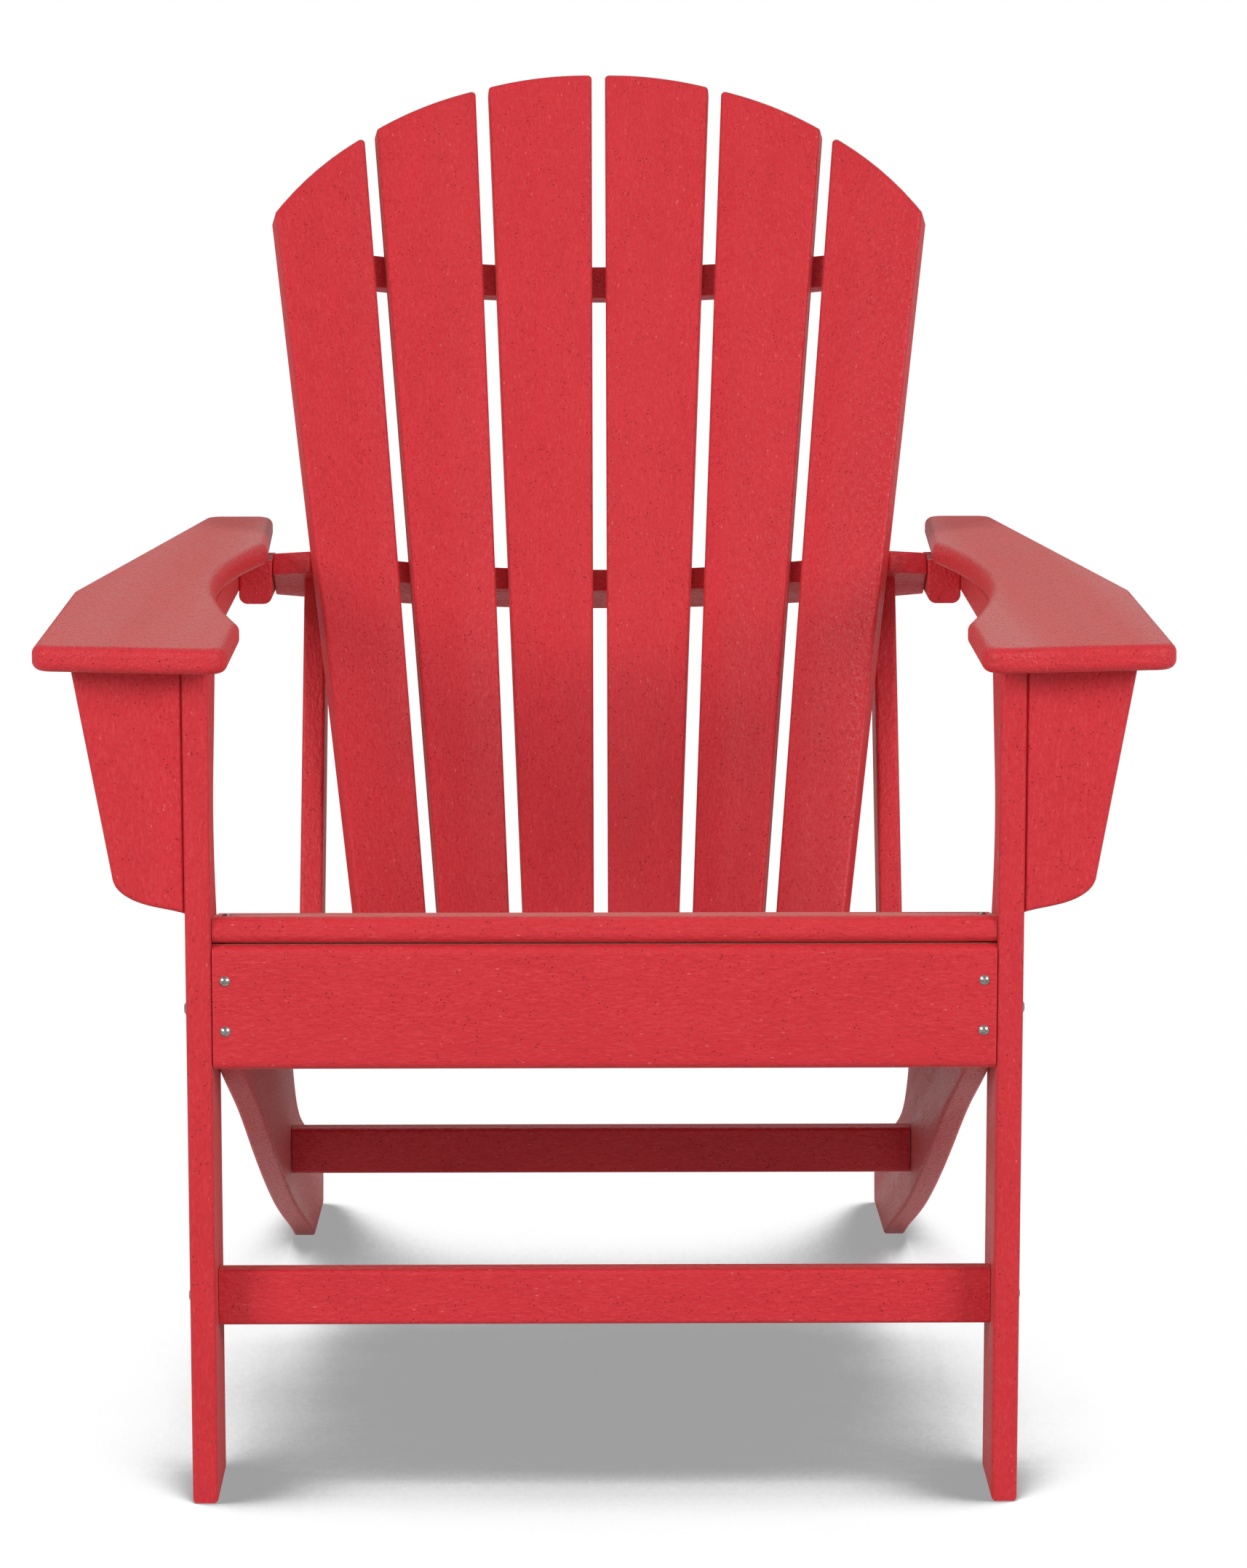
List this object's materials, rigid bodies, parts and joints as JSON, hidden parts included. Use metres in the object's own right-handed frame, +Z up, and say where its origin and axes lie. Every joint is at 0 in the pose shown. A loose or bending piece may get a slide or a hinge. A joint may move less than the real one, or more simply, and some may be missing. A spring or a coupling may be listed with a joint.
{
  "type": "adirondack chair",
  "caption": "Fan-back adirondack garden chair in solid red plastic boards, with broad scalloped arms, bracketed front legs and a sloping slatted seat.",
  "frame": {"origin": "on the floor, below the middle of the chair's overall width and depth", "axes": "+Z up; the sitter faces -Y; +X runs across the chair to the viewer's right when seen from the front"},
  "size_m": [0.772, 0.8894, 0.9615],
  "materials": {
    "board": "solid-coloured recycled polyethylene board, fine grain, satin",
    "stainless": "satin stainless fasteners"
  },
  "bodies": {
    "root": {"apron_screws": "stainless", "arm_block_screws": "stainless", "arm_cross_rail": "board", "arm_rail_screws": "stainless", "arm_screws": "stainless", "bracket_screws": "stainless", "cross_rail_screws": "stainless", "front_apron": "board", "front_stretcher": "board", "left_arm": "board", "left_arm_block": "board", "left_arm_bracket": "board", "left_arm_rail": "board", "left_back_slat_1": "board", "left_back_slat_2": "board", "left_back_slat_3": "board", "left_back_upright": "board", "left_front_leg": "board", "left_side_rail": "board", "leg_bolts": "stainless", "leg_nuts": "stainless", "leg_screws": "stainless", "lower_back_rail": "board", "lower_rail_end_screws": "stainless", "lower_rail_screws": "stainless", "rear_stretcher": "board", "rear_stretcher_screws": "stainless", "right_arm": "board", "right_arm_block": "board", "right_arm_bracket": "board", "right_arm_rail": "board", "right_back_slat_1": "board", "right_back_slat_2": "board", "right_back_slat_3": "board", "right_back_upright": "board", "right_front_leg": "board", "right_side_rail": "board", "seat_screws": "stainless", "seat_slat_1": "board", "seat_slat_2": "board", "seat_slat_3": "board", "seat_slat_4": "board", "seat_slat_5": "board", "seat_slat_6": "board", "upper_back_cleat": "board", "upper_cleat_screws": "stainless", "upright_foot_screws": "stainless", "upright_top_screws": "stainless"}
  },
  "joints": []
}
